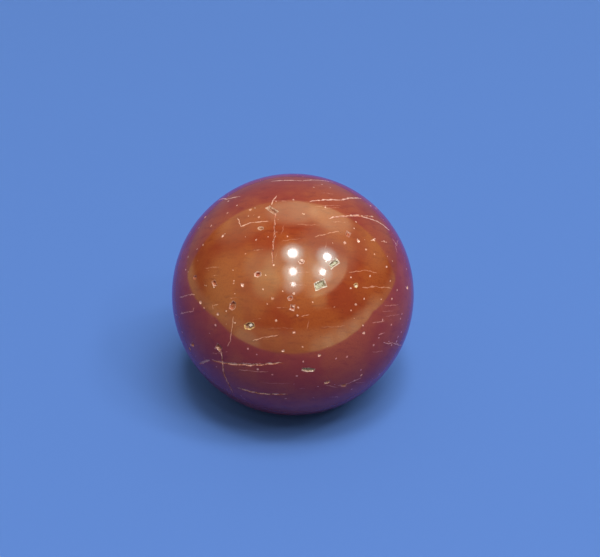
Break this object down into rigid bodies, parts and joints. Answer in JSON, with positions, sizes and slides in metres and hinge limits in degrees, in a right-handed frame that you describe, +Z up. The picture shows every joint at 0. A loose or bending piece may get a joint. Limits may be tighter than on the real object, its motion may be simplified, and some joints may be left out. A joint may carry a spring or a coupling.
{
  "type": "jasper sphere",
  "caption": "Polished ball of red-brown jasper with pale healed veins, angular crystal pits, pinholes and fine open cracks in a glossy skin.",
  "frame": {"origin": "centre of the ball", "axes": "+Z up as the ball lies in the view it is made for, -Y towards its best face, +X to the right of that face"},
  "size_m": [0.05, 0.05, 0.05],
  "materials": {
    "jasper": "polished jasper, red-brown with pale veins, mirror gloss with open pits and hairline cracks"
  },
  "bodies": {
    "root": {"jasper_sphere": "jasper"}
  },
  "joints": []
}
